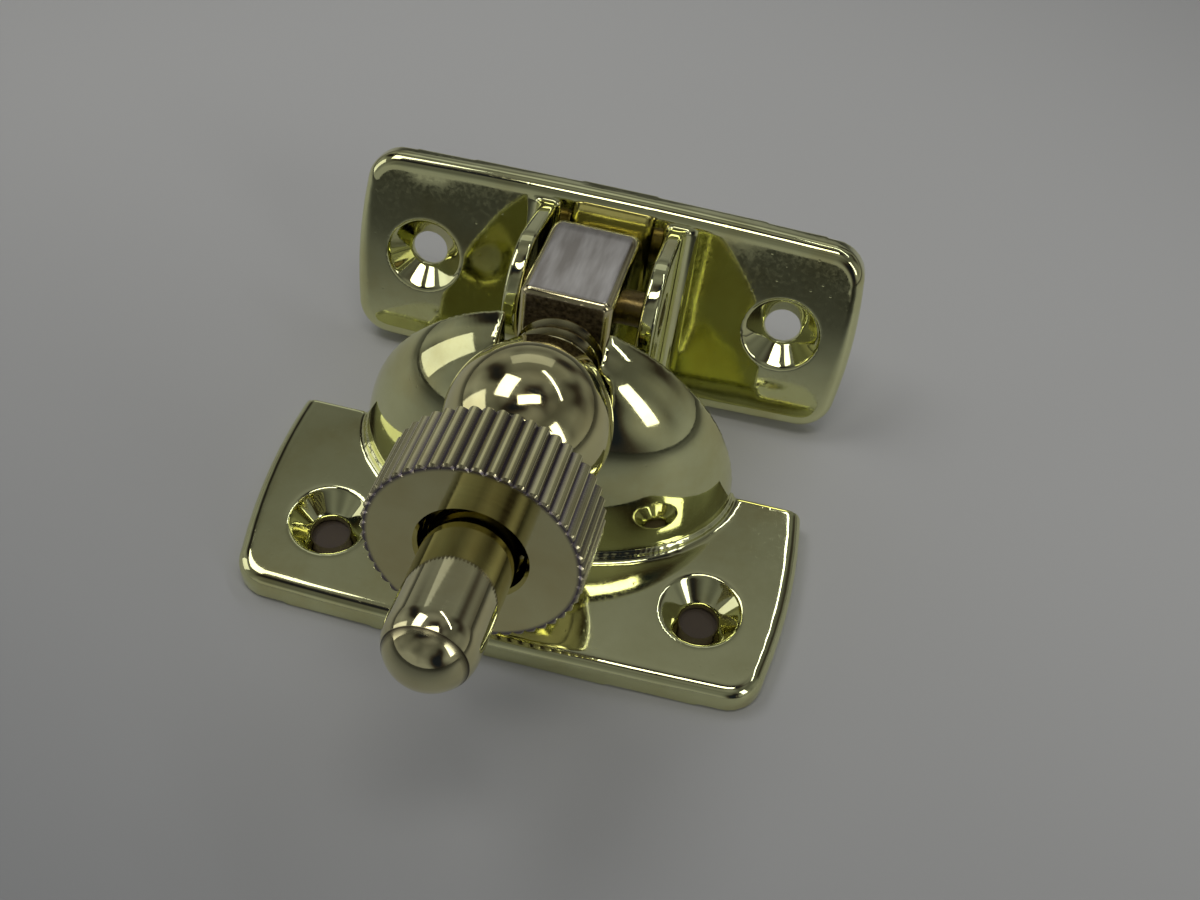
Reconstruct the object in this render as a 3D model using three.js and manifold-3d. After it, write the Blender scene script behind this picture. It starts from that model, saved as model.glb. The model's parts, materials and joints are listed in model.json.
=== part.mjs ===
// Brighton-pattern sash fastener: a keeper with a slotted dome, and a hinged bracket whose
// screwed arm drops into the slot and is pulled tight by a ball-nosed thumb nut.
// Millimetres. +Z is up off the keeper, +Y points from the keeper to the bracket,
// and the origin is the middle of the keeper's underside.
import * as THREE from 'three';
import { mergeVertices } from 'three/addons/utils/BufferGeometryUtils.js';
import Module from 'manifold-3d';

const wasm = await Module();
wasm.setup();

// plates, both cast to the same thickness and drilled for the same countersunk screws
const PLATE_T = 3.3;
const EDGE_ROUND = 2.2;
const EDGE_INSET = 1.4;
const SCREW_BORE_R = 2.1;
const COUNTERSINK_R = 4.5;
const COUNTERSINK_DEPTH = COUNTERSINK_R - SCREW_BORE_R;

// keeper
const KEEPER_DEPTH = 26;
const KEEPER_BACK_HALF = 30;
const KEEPER_FRONT_HALF = 29.6;
const KEEPER_CORNER_R = 4.1;
const KEEPER_SCREW_X = 21.3;
const KEEPER_SCREW_Y = -2.9;
const BACK_Y = KEEPER_DEPTH / 2;

// the dome is a quarter ellipsoid standing against the keeper's back edge
const DOME_HALF_WIDTH = 21.6;
const DOME_DEPTH = 13.5;
const DOME_HEIGHT = 24;
const DOME_BEAD = 0.5;
const SLOT_HALF = 5.55;
const SLOT_CENTRE_Z = 14.5;

// bracket: a plate that leans back, with two ears for the hinge pin
const LEAN = 0.382;
const BRACKET_HALF_WIDTH = 29.8;
const BRACKET_HALF_HEIGHT = 11.84;
const BRACKET_BOW = 0.5;
const BRACKET_CORNER_R = 4.2;
const BRACKET_SCREW_X = 21.8;
const BRACKET_OFFSET_X = 1.2;
const EAR_GAP = 13.2;
const EAR_T = 1.9;
const EAR_R = 6.6;
const EAR_FOOT = -8;
const EAR_FILLET = 1.3;

// hinge pin, from the plate's face and from its mid-line
const PIN_R = 2;
const PIN_STANDOFF = 9.3;
const PIN_RISE = 3.7;
const GAP = 0.3;
const PIN_Y = BACK_Y + 10.34;
const PIN_Z = (PIN_STANDOFF + PLATE_T) * Math.sin(LEAN)
  + (PIN_RISE + BRACKET_HALF_HEIGHT + BRACKET_BOW) * Math.cos(LEAN);

// arm: distances run along the stem from the pin's centre line
const ARM_TILT = 0.186;
const ARM_YAW = 0.02;
const ARM_X = 0.6;
const BLOCK_HALF_WIDTH = 5.05;
const BLOCK_HALF_HEIGHT = 7.3;
const BLOCK_FRONT = 10.4;
const BLOCK_ROLL = 1.1;
const BLOCK_BACK = 1.5;
const BLOCK_BACK_R = 5.8;
const SPIGOT_R = 3.2;
const SPIGOT_START = 3.1;
const THREAD_R = 4.75;
const THREAD_END = 40.5;
const STEM_R = 4.5;
const STEM_END = 57.2;

// thumb nut: ball nose, neck and reeded wheel
const NOSE_START = 15.9;
const NOSE_R = 6.3;
const NOSE_CONE = 3.7;
const BALL_R = 8.7;
const BALL_CENTRE = 22.7;
const NECK_R = 6.1;
const WHEEL_START = 33.3;
const WHEEL_END = 41.8;
const WHEEL_ROOT_R = 10.35;
const REED_RISE = 0.5;
const REEDS = 48;
const WHEEL_HOLE_R = 5.3;
const WHEEL_CHAMFER = 0.35;

function toSolid(geometry) {
  const bare = geometry.clone();
  bare.deleteAttribute('normal');
  bare.deleteAttribute('uv');
  const welded = mergeVertices(bare, 1e-4);
  return new wasm.Manifold(new wasm.Mesh({
    numProp: 3,
    vertProperties: new Float32Array(welded.attributes.position.array),
    triVerts: new Uint32Array(welded.index.array),
  }));
}

function toGeometry(solid) {
  const mesh = solid.getMesh();
  const geometry = new THREE.BufferGeometry();
  geometry.setAttribute('position', new THREE.BufferAttribute(mesh.vertProperties, 3));
  geometry.setIndex(new THREE.BufferAttribute(mesh.triVerts, 1));
  geometry.computeVertexNormals();
  return geometry;
}

const box = (x0, x1, y0, y1, z0, z1) => new THREE.BoxGeometry(x1 - x0, y1 - y0, z1 - z0)
  .translate((x0 + x1) / 2, (y0 + y1) / 2, (z0 + z1) / 2);

// a body of revolution about +Z from [radius, height] pairs
const turned = (profile, segments = 48) => new THREE.LatheGeometry(
  profile.map(([radius, height]) => new THREE.Vector2(radius, height)), segments,
).rotateX(Math.PI / 2);

const rodAlongX = (radius, x0, x1) => new THREE.CylinderGeometry(radius, radius, x1 - x0, 40)
  .rotateZ(Math.PI / 2).translate((x0 + x1) / 2, 0, 0);

// An outline with rounded corners and slightly bowed edges. Corners run anticlockwise as
// [x, y, radius, bow of the edge that leaves this corner].
function bowedOutline(corners) {
  const outline = new THREE.Shape();
  const kappa = 0.45;
  const at = (index) => corners[(index + corners.length) % corners.length];
  corners.forEach((corner, index) => {
    const here = new THREE.Vector2(corner[0], corner[1]);
    const before = new THREE.Vector2(at(index - 1)[0], at(index - 1)[1]).sub(here).normalize();
    const after = new THREE.Vector2(at(index + 1)[0], at(index + 1)[1]).sub(here);
    const next = at(index + 1);
    const along = after.clone().normalize();
    const start = here.clone().addScaledVector(before, corner[2]);
    const end = here.clone().addScaledVector(along, corner[2]);
    if (index === 0) {
      outline.moveTo(start.x, start.y);
    }
    if (corner[2] > 0) {
      const pull1 = here.clone().addScaledVector(before, corner[2] * kappa);
      const pull2 = here.clone().addScaledVector(along, corner[2] * kappa);
      outline.bezierCurveTo(pull1.x, pull1.y, pull2.x, pull2.y, end.x, end.y);
    }
    const finish = here.clone().add(after).addScaledVector(along, -next[2]);
    const middle = end.clone().add(finish).multiplyScalar(0.5)
      .add(new THREE.Vector2(along.y, -along.x).multiplyScalar(2 * corner[3]));
    outline.quadraticCurveTo(middle.x, middle.y, finish.x, finish.y);
  });
  return outline;
}

// a plate with its face edges rolled over and its back left flat at z = 0
function rolledPlate(outline) {
  const blank = new THREE.ExtrudeGeometry(outline, {
    depth: PLATE_T - EDGE_ROUND,
    bevelThickness: EDGE_ROUND,
    bevelSize: EDGE_INSET,
    bevelOffset: -EDGE_INSET,
    bevelSegments: 5,
    curveSegments: 10,
  });
  return toSolid(blank).intersect(toSolid(box(-50, 50, -50, 50, 0, PLATE_T + 1)));
}

// a countersunk screw hole through a plate of the common thickness
const screwHole = (x, y) => toSolid(turned([
  [0, -1],
  [SCREW_BORE_R, -1],
  [SCREW_BORE_R, PLATE_T - COUNTERSINK_DEPTH],
  [COUNTERSINK_R, PLATE_T],
  [COUNTERSINK_R + 1, PLATE_T + 1],
  [0, PLATE_T + 1],
], 36).translate(x, y, 0));

// radius of the nut's nose cone and ball at a distance along the stem
function noseRadius(s) {
  const coneEnd = NOSE_START + NOSE_CONE;
  if (s < coneEnd) {
    return NOSE_R + (ballRadius(coneEnd) - NOSE_R) * (s - NOSE_START) / NOSE_CONE;
  }
  return ballRadius(s);
}

const ballRadius = (s) => Math.sqrt(Math.max(0, BALL_R ** 2 - (s - BALL_CENTRE) ** 2));

const BALL_END_S = BALL_CENTRE + Math.sqrt(BALL_R ** 2 - NECK_R ** 2);
const BALL_STEPS = 14;

// [radius, distance] pairs from the nose to where the ball meets the neck
function noseProfile(growth) {
  const stations = [NOSE_START, NOSE_START + NOSE_CONE];
  const from = NOSE_START + NOSE_CONE;
  for (let i = 1; i <= BALL_STEPS; i += 1) {
    stations.push(from + (BALL_END_S - from) * i / BALL_STEPS);
  }
  return stations.map((s) => [noseRadius(s) + growth, s]);
}

// placement of everything that swings with the arm: local +Z runs out along the stem
const armTurn = new THREE.Euler(Math.PI / 2 - ARM_TILT, -ARM_YAW, 0);
const armPlace = new THREE.Matrix4().makeTranslation(ARM_X, PIN_Y, PIN_Z)
  .multiply(new THREE.Matrix4().makeRotationFromEuler(armTurn));

// Room for the ball in the dome: the ball where it seats, its swing about the pin, and its
// straight lift out.
function seatRoom() {
  const profile = noseProfile(GAP);
  profile[0][1] -= GAP;
  const closed = [[0, profile[0][1]], ...profile, [0, BALL_END_S]];
  const seated = toSolid(turned(closed, 64).applyMatrix4(armPlace));
  const drift = (s) => -ARM_YAW * s;
  const swing = [
    ...profile.map(([radius, s]) => new THREE.Vector2(s, drift(s) + radius)),
    ...profile.map(([radius, s]) => new THREE.Vector2(s, drift(s) - radius)).reverse(),
  ];
  swing.push(swing[0].clone());
  const swept = toSolid(new THREE.LatheGeometry(swing.reverse(), 96)
    .rotateZ(-Math.PI / 2).translate(ARM_X, PIN_Y, PIN_Z));
  const flat = (sign) => ([radius, s]) => new THREE.Vector2(
    ARM_X + drift(s) + sign * radius, PIN_Y - s * Math.cos(ARM_TILT),
  );
  const outline = new THREE.Shape([
    ...profile.map(flat(1)),
    ...profile.map(flat(-1)).reverse(),
  ]);
  const lifted = toSolid(new THREE.ExtrudeGeometry(outline, { depth: 40, bevelEnabled: false }));
  const above = toSolid(box(-20, 20, 0, 60, -5, 60).applyMatrix4(armPlace));
  return seated.add(swept.add(lifted).intersect(above));
}

function keeper() {
  const front = BACK_Y - KEEPER_DEPTH;
  const bow = 0.5;
  const tail = 6;
  const plate = rolledPlate(bowedOutline([
    [1.07 - KEEPER_BACK_HALF, BACK_Y + tail, 0, 1.53],
    [-KEEPER_FRONT_HALF, front + bow, KEEPER_CORNER_R, bow],
    [KEEPER_FRONT_HALF, front + bow, KEEPER_CORNER_R, 1.53],
    [KEEPER_BACK_HALF - 1.07, BACK_Y + tail, 0, 0],
  ]));
  const dome = toSolid(new THREE.SphereGeometry(1, 72, 36).rotateX(Math.PI / 2)
    .scale(DOME_HALF_WIDTH, DOME_DEPTH, DOME_HEIGHT).translate(0, BACK_Y, PLATE_T));
  const bead = toSolid(new THREE.CylinderGeometry(1, 1, 1, 72).rotateX(Math.PI / 2)
    .scale(DOME_HALF_WIDTH + DOME_BEAD, DOME_DEPTH + DOME_BEAD, 1 + 2 * DOME_BEAD)
    .translate(0, BACK_Y, PLATE_T));
  const trim = toSolid(box(-50, 50, -50, BACK_Y, 1, 50));
  const blank = plate.intersect(toSolid(box(-50, 50, -50, BACK_Y, -1, 50)))
    .add(dome.add(bead).intersect(trim));
  const slotOutline = new THREE.Shape();
  slotOutline.moveTo(SLOT_HALF, 60);
  slotOutline.lineTo(-SLOT_HALF, 60);
  slotOutline.lineTo(-SLOT_HALF, SLOT_CENTRE_Z);
  slotOutline.absarc(0, SLOT_CENTRE_Z, SLOT_HALF, Math.PI, 2 * Math.PI);
  slotOutline.lineTo(SLOT_HALF, 60);
  const slot = toSolid(new THREE.ExtrudeGeometry(slotOutline, {
    depth: 40, bevelEnabled: false, curveSegments: 16,
  }).rotateX(Math.PI / 2).translate(0, BACK_Y + 5, 0));
  return toGeometry(blank.subtract(slot).subtract(seatRoom())
    .subtract(screwHole(-KEEPER_SCREW_X, KEEPER_SCREW_Y))
    .subtract(screwHole(KEEPER_SCREW_X, KEEPER_SCREW_Y)));
}

// The bracket in its own frame: x along the plate, y up its face, z out of the face and the
// back at z = 0.
function pivotBracket() {
  const { PI } = Math;
  const w = BRACKET_HALF_WIDTH;
  const h = BRACKET_HALF_HEIGHT;
  const plate = rolledPlate(bowedOutline([
    [-w, -h, BRACKET_CORNER_R, BRACKET_BOW],
    [w, -h, BRACKET_CORNER_R, BRACKET_BOW],
    [w, h, BRACKET_CORNER_R, BRACKET_BOW],
    [-w, h, BRACKET_CORNER_R, BRACKET_BOW],
  ]));
  const pinOut = PLATE_T + PIN_STANDOFF;
  const rise = Math.atan2(PIN_RISE - EAR_R - EAR_FOOT, pinOut);
  const earOutline = new THREE.Shape();
  earOutline.moveTo(1, EAR_FOOT);
  earOutline.absarc(pinOut, PIN_RISE, EAR_R, rise - PI / 2, PI / 2);
  earOutline.lineTo(1, PIN_RISE + EAR_R);
  const ears = toSolid(new THREE.ExtrudeGeometry(earOutline, {
    depth: EAR_GAP + 2 * EAR_T, bevelEnabled: false, curveSegments: 20,
  }).rotateY(-PI / 2).translate(EAR_GAP / 2 + EAR_T, 0, 0));
  const outer = EAR_GAP / 2 + EAR_T;
  const fillet = new THREE.Shape([
    new THREE.Vector2(-outer - EAR_FILLET, PLATE_T - 1),
    new THREE.Vector2(outer + EAR_FILLET, PLATE_T - 1),
    new THREE.Vector2(outer + EAR_FILLET, PLATE_T),
    new THREE.Vector2(outer, PLATE_T + EAR_FILLET),
    new THREE.Vector2(-outer, PLATE_T + EAR_FILLET),
    new THREE.Vector2(-outer - EAR_FILLET, PLATE_T),
  ]);
  const root = toSolid(new THREE.ExtrudeGeometry(fillet, {
    depth: PIN_RISE + EAR_R - EAR_FOOT, bevelEnabled: false,
  }).rotateX(PI / 2).translate(0, PIN_RISE + EAR_R, 0));
  const between = toSolid(box(-EAR_GAP / 2, EAR_GAP / 2, -30, 30, PLATE_T, 40));
  const bore = toSolid(rodAlongX(PIN_R + GAP, -20, 20).translate(0, PIN_RISE, pinOut));
  return toGeometry(plate.add(ears).add(root).subtract(between).subtract(bore)
    .subtract(screwHole(-BRACKET_SCREW_X, 0))
    .subtract(screwHole(BRACKET_SCREW_X, 0)));
}

function swivelBlock() {
  const { PI } = Math;
  const h = BLOCK_HALF_HEIGHT - BLOCK_ROLL;
  const front = BLOCK_FRONT - BLOCK_ROLL;
  const side = new THREE.Shape();
  side.moveTo(0, -h);
  side.lineTo(front - BLOCK_ROLL, -h);
  side.quadraticCurveTo(front, -h, front, -h + BLOCK_ROLL);
  side.lineTo(front, h - BLOCK_ROLL);
  side.quadraticCurveTo(front, h, front - BLOCK_ROLL, h);
  side.lineTo(-BLOCK_BACK, h);
  const backR = BLOCK_BACK_R - BLOCK_ROLL;
  side.absarc(-BLOCK_BACK, h - backR, backR, PI / 2, PI);
  side.lineTo(-h, 0);
  side.absarc(0, 0, h, PI, 3 * PI / 2);
  const blank = toSolid(new THREE.ExtrudeGeometry(side, {
    depth: 2 * (BLOCK_HALF_WIDTH - BLOCK_ROLL),
    bevelThickness: BLOCK_ROLL,
    bevelSize: BLOCK_ROLL,
    bevelSegments: 3,
    curveSegments: 16,
  }).translate(0, 0, BLOCK_ROLL - BLOCK_HALF_WIDTH).rotateY(-PI / 2));
  const cross = toSolid(rodAlongX(PIN_R + GAP, -20, 20));
  const socket = toSolid(turned([
    [0, SPIGOT_START - GAP], [SPIGOT_R + GAP, SPIGOT_START - GAP],
    [SPIGOT_R + GAP, BLOCK_FRONT + 1], [0, BLOCK_FRONT + 1],
  ]));
  return toGeometry(blank.subtract(cross).subtract(socket));
}

function threadedStem() {
  const tip = [];
  for (let i = 0; i <= 10; i += 1) {
    const angle = i / 10 * Math.PI / 2;
    tip.push([STEM_R * Math.cos(angle), STEM_END - STEM_R + STEM_R * Math.sin(angle)]);
  }
  tip[10][0] = 0;
  return turned([
    [0, SPIGOT_START],
    [SPIGOT_R, SPIGOT_START],
    [SPIGOT_R, BLOCK_FRONT + GAP],
    [THREAD_R, BLOCK_FRONT + GAP],
    [THREAD_R, THREAD_END],
    [STEM_R, THREAD_END + 0.4],
    ...tip,
  ]);
}

function ballEnd() {
  const end = WHEEL_START - GAP / 2;
  const bore = THREAD_R + GAP;
  return turned([
    [bore, NOSE_START],
    ...noseProfile(0),
    [NECK_R, end],
    [bore, end],
    [bore, NOSE_START],
  ], 56);
}

function thumbWheel() {
  const pointsPerReed = 4;
  const rim = [];
  for (let i = 0; i < REEDS * pointsPerReed; i += 1) {
    const angle = i / (REEDS * pointsPerReed) * 2 * Math.PI;
    const radius = WHEEL_ROOT_R + REED_RISE * Math.abs(Math.cos(angle * REEDS / 2));
    rim.push(new THREE.Vector2(radius * Math.cos(angle), radius * Math.sin(angle)));
  }
  const start = WHEEL_START + GAP / 2;
  const disc = toSolid(new THREE.ExtrudeGeometry(new THREE.Shape(rim), {
    depth: WHEEL_END - start, bevelEnabled: false,
  }).translate(0, 0, start));
  const outer = WHEEL_ROOT_R + REED_RISE + 1;
  const turnedDown = toSolid(turned([
    [0, start], [outer - 1 - WHEEL_CHAMFER, start],
    [outer, start + 1 + WHEEL_CHAMFER], [outer, WHEEL_END - 1 - WHEEL_CHAMFER],
    [outer - 1 - WHEEL_CHAMFER, WHEEL_END], [0, WHEEL_END],
  ]));
  const hole = toSolid(new THREE.CylinderGeometry(WHEEL_HOLE_R, WHEEL_HOLE_R, 40, 48)
    .rotateX(Math.PI / 2).translate(0, 0, WHEEL_END));
  return toGeometry(disc.intersect(turnedDown).subtract(hole));
}

const polishedBrass = () => new THREE.MeshStandardMaterial({
  color: 0xb9a04a, roughness: 0.12, metalness: 1,
});
const satinBrass = () => new THREE.MeshStandardMaterial({
  color: 0xa79a72, roughness: 0.35, metalness: 1,
});

function piece(name, geometry, material) {
  const mesh = new THREE.Mesh(geometry, material);
  mesh.name = name;
  return mesh;
}

const fastener = new THREE.Group();
fastener.add(piece('keeper', keeper(), polishedBrass()));

const bracketGroup = new THREE.Group();
const cos = Math.cos(LEAN);
const sin = Math.sin(LEAN);
bracketGroup.rotation.x = Math.PI / 2 - LEAN;
bracketGroup.position.set(
  BRACKET_OFFSET_X,
  PIN_Y + (PIN_STANDOFF + PLATE_T) * cos - PIN_RISE * sin,
  PIN_Z - (PIN_STANDOFF + PLATE_T) * sin - PIN_RISE * cos,
);
bracketGroup.add(piece('pivot_bracket', pivotBracket(), polishedBrass()));
const pinReach = EAR_GAP / 2 + EAR_T;
bracketGroup.add(piece('pivot_pin', rodAlongX(PIN_R, -pinReach, pinReach)
  .translate(0, PIN_RISE, PLATE_T + PIN_STANDOFF), satinBrass()));
fastener.add(bracketGroup);

const armGroup = new THREE.Group();
armGroup.position.set(ARM_X, PIN_Y, PIN_Z);
armGroup.rotation.copy(armTurn);
armGroup.add(piece('swivel_block', swivelBlock(), satinBrass()));
armGroup.add(piece('threaded_stem', threadedStem(), polishedBrass()));
armGroup.add(piece('ball_end', ballEnd(), polishedBrass()));
armGroup.add(piece('thumb_wheel', thumbWheel(), polishedBrass()));
fastener.add(armGroup);

export default fastener;
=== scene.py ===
# %% [markdown]
# # A Brighton-pattern sash fastener in polished brass
# Two castings hold two sliding sashes together. The keeper has a slotted dome. The bracket
# carries a hinged, screwed arm that drops into the slot, and a ball-nosed thumb nut on the arm
# pulls the two together. The frame loaded here already has every size and joint, so each piece
# below is shaped around it and then told which body it moves with.

import json
import math

import bmesh
import bpy
from mathutils import Matrix, Vector


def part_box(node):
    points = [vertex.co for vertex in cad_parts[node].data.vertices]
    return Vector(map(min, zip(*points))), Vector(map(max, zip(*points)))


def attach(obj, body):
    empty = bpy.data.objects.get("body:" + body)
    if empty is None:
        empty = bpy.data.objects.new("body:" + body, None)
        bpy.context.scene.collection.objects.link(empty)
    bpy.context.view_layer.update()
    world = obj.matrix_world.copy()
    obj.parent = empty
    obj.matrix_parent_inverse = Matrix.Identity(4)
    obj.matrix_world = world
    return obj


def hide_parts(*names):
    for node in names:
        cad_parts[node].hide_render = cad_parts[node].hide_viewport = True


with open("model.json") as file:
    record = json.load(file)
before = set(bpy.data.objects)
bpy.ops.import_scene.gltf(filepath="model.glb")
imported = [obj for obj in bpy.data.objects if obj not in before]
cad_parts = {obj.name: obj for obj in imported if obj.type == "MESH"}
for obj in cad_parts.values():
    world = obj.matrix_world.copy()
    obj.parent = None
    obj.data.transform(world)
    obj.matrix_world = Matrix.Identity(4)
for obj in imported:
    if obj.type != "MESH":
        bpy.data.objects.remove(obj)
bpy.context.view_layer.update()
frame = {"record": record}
joints = {joint["name"]: joint for joint in frame["record"]["behaviour"]["joints"]}
mm = 0.001


# %% [markdown]
# ## Two working frames
# The bracket leans back and the arm tilts up, so both are awkward to model where they stand.
# Each is modelled upright around its own axis and carried into place by a matrix: the bracket
# by its back face, the arm by its hinge pin and the line its nut travels on.

# %% the arm's and the bracket's placing
def upright_to(origin, out):
    """Carries local +Z onto the direction out and local +X along the hinge pin."""
    z = Vector(out).normalized()
    x = (Vector((1, 0, 0)) - z * z.x).normalized()
    y = z.cross(x)
    turn = Matrix((x, y, z)).transposed().to_4x4()
    return Matrix.Translation(Vector(origin)) @ turn


pin_centre = joints["arm_pivot"]["pos_m"]
arm_place = upright_to(pin_centre, joints["nut_travel"]["axis"])
back_mount = next(m for m in frame["record"]["mounts"] if m["name"] == "bracket_back")
face_out = -Vector(back_mount["axis"])
bracket_place = upright_to(back_mount["pos_m"], face_out)
pin_local = bracket_place.inverted() @ Vector((back_mount["pos_m"][0], *pin_centre[1:]))
print("pin stands", round(pin_local.z / mm, 2), "mm out of the bracket's back")


# %% [markdown]
# ## Shaping helpers
# Most of this object is turned or cast. A turned piece is an outline spun about its axis. A
# casting is a few plain solids joined and cut, then buffed until every edge is a little soft.
# These helpers do one job each, all in millimetres, and each gives back a bmesh or an object.

# %% turning, extruding and finishing
def spun(outline, steps):
    """A closed solid from (radius, height) points spun about +Z."""
    bm = bmesh.new()
    points = [bm.verts.new((radius, 0, height)) for radius, height in outline]
    edges = [bm.edges.new(pair) for pair in zip(points, points[1:])]
    bmesh.ops.spin(bm, geom=points + edges, cent=(0, 0, 0), axis=(0, 0, 1), dvec=(0, 0, 0),
                   angle=2 * math.pi, steps=steps, use_merge=True, use_duplicate=False)
    bmesh.ops.remove_doubles(bm, verts=bm.verts, dist=0.0005)
    bmesh.ops.recalc_face_normals(bm, faces=bm.faces)
    return bm


def slab(outline, low, high):
    """A flat plate with the given plan, from low to high along +Z."""
    bm = bmesh.new()
    face = bm.faces.new([bm.verts.new((x, y, low)) for x, y in outline])
    grown = bmesh.ops.extrude_face_region(bm, geom=[face])["geom"]
    top = [v for v in grown if isinstance(v, bmesh.types.BMVert)]
    bmesh.ops.translate(bm, verts=top, vec=(0, 0, high - low))
    bmesh.ops.recalc_face_normals(bm, faces=bm.faces)
    return bm


def rod(radius, low, high, segments=64):
    """A round bar along +Z."""
    return spun([(0, low), (radius, low), (radius, high), (0, high)], segments)


def placed(name, bm, matrix=None):
    """An object from a millimetre bmesh, its place and scale kept in its mesh."""
    bmesh.ops.transform(bm, matrix=Matrix.Scale(mm, 4), verts=bm.verts)
    if matrix is not None:
        bmesh.ops.transform(bm, matrix=matrix, verts=bm.verts)
    mesh = bpy.data.meshes.new(name)
    bm.to_mesh(mesh)
    bm.free()
    piece = bpy.data.objects.new(name, mesh)
    bpy.context.scene.collection.objects.link(piece)
    return piece


def smooth(piece, angle=35):
    """Shades a piece smooth, but keeps edges sharper than the angle crisp."""
    piece.data.polygons.foreach_set("use_smooth", [True] * len(piece.data.polygons))
    piece.data.set_sharp_from_angle(angle=math.radians(angle))


# %% joining and cutting
def settle(piece):
    """Applies a piece's modifiers."""
    bpy.context.view_layer.update()
    solved = piece.evaluated_get(bpy.context.evaluated_depsgraph_get())
    mesh = bpy.data.meshes.new_from_object(solved)
    piece.modifiers.clear()
    old = piece.data
    piece.data = mesh
    bpy.data.meshes.remove(old)


def combine(piece, other, how):
    """Joins other to piece, cuts it away or keeps what they share, and removes other."""
    step = piece.modifiers.new("step", "BOOLEAN")
    step.operation = how
    step.solver = "EXACT"
    step.object = other
    settle(piece)
    bpy.data.objects.remove(other, do_unlink=True)


def buffed(piece, grain, rounds):
    """Melts a casting's edges the way a buffing wheel does: an even fine skin, smoothed."""
    skin = piece.modifiers.new("skin", "REMESH")
    skin.mode = "VOXEL"
    skin.voxel_size = grain * mm
    settle(piece)
    soften = piece.modifiers.new("soften", "SMOOTH")
    soften.factor = 0.5
    soften.iterations = rounds
    settle(piece)
    smooth(piece, 60)
    print(piece.name, "has", len(piece.data.polygons), "faces")


# %% [markdown]
# ## The keeper
# The keeper is a cast plate, square at the back and bowed at the front, with a quarter of an
# egg standing against its back edge. The slot takes the arm, and the ball of the nut sits in a
# shallow seat milled across the slot's front. It could be one subdivision surface, but the
# slot, the seat and the countersinks cut across its curves, so solids are joined and cut and
# the result is buffed.

# %% keeper sizes, from the frame
plate_t = 3.3
screw_x = 21.3
screw_y = -2.9
bore_r = 2.1
sink_r = 4.5
keeper_low, keeper_high = [Vector(v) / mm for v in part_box("keeper")]
back_y = keeper_high.y
front_y = keeper_low.y
print("keeper", [round(v, 1) for v in keeper_high - keeper_low], "mm")


def arc(centre, radius, start, end, count):
    """Points on an arc, angles in degrees."""
    turn = [math.radians(start + (end - start) * i / count) for i in range(count + 1)]
    return [(centre[0] + radius * math.cos(a), centre[1] + radius * math.sin(a)) for a in turn]


def bowed(start, end, bow, count=10):
    """Points between two ends of an edge that bulges to its right by bow."""
    a, b = Vector(start), Vector(end)
    along = b - a
    out = Vector((along.y, -along.x)).normalized()
    points = []
    for i in range(1, count):
        t = i / count
        points.append(tuple(a + along * t + out * bow * 4 * t * (1 - t)))
    return points


def screw_hole(name, x, y):
    """The cutter for a countersunk hole in a plate."""
    depth = plate_t - (sink_r - bore_r)
    outline = [(0, -1), (bore_r, -1), (bore_r, depth), (sink_r, plate_t),
               (sink_r + 1, plate_t + 1), (0, plate_t + 1)]
    bm = spun(outline, 96)
    bmesh.ops.translate(bm, verts=bm.verts, vec=(x, y, 0))
    return placed(name, bm)


# %% the keeper's plate
def rolled_plate(name, plan, roll, cut_y=None):
    """A plate with its upper edge rolled over, and cut off square at cut_y if that is given."""
    bm = slab(plan, 0, plate_t)
    rim = [e for e in bm.edges if all(v.co.z > plate_t - 0.01 for v in e.verts)]
    bmesh.ops.bevel(bm, geom=rim, offset=roll, segments=8, profile=0.5, material=-1,
                    affect="EDGES", offset_type="OFFSET")
    if cut_y is not None:
        everything = bm.verts[:] + bm.edges[:] + bm.faces[:]
        bmesh.ops.bisect_plane(bm, geom=everything, plane_co=(0, cut_y, 0),
                               plane_no=(0, 1, 0), clear_outer=True)
        bmesh.ops.holes_fill(bm, edges=[e for e in bm.edges if e.is_boundary])
    bmesh.ops.recalc_face_normals(bm, faces=bm.faces)
    return placed(name, bm)


half_back = 30.0
half_front = 29.6
side_bow, front_bow = 1.4, 0.5
corner_r = 4.1
tail = 6.0
tail_in = 1.07
edge_roll = 1.5
fx, fy = half_front - corner_r, front_y + 0.4 + corner_r
corner_right = arc((fx, fy), corner_r, -88, -2, 12)
corner_left = arc((-fx, fy), corner_r, 182, 268, 12)
tail_right = (half_back - tail_in, back_y + tail)
tail_left = (-half_back + tail_in, back_y + tail)
keeper_plan = (corner_right + bowed(corner_right[-1], tail_right, side_bow)
               + [tail_right, tail_left] + bowed(tail_left, corner_left[0], side_bow)
               + corner_left + bowed(corner_left[-1], corner_right[0], front_bow))
keeper = rolled_plate("keeper_casting", keeper_plan, edge_roll, back_y)
print("keeper plate", [round(v / mm, 1) for v in keeper.dimensions])

# %% [markdown]
# ### The dome
# The dome is a quarter of an egg-shaped solid, cut flat at the keeper's back edge and at the
# plate, with a low bead round its foot. A sphere scaled to the three half-sizes gives the true
# curve, which a turned outline could not, because the dome is wider than it is deep.

# %% the dome and its foot
dome_x, dome_y, dome_z = 21.6, 13.5, 24.0
bead_out, bead_top = 0.5, 0.75
inside_plate, well_above = 1.0, 60


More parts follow.
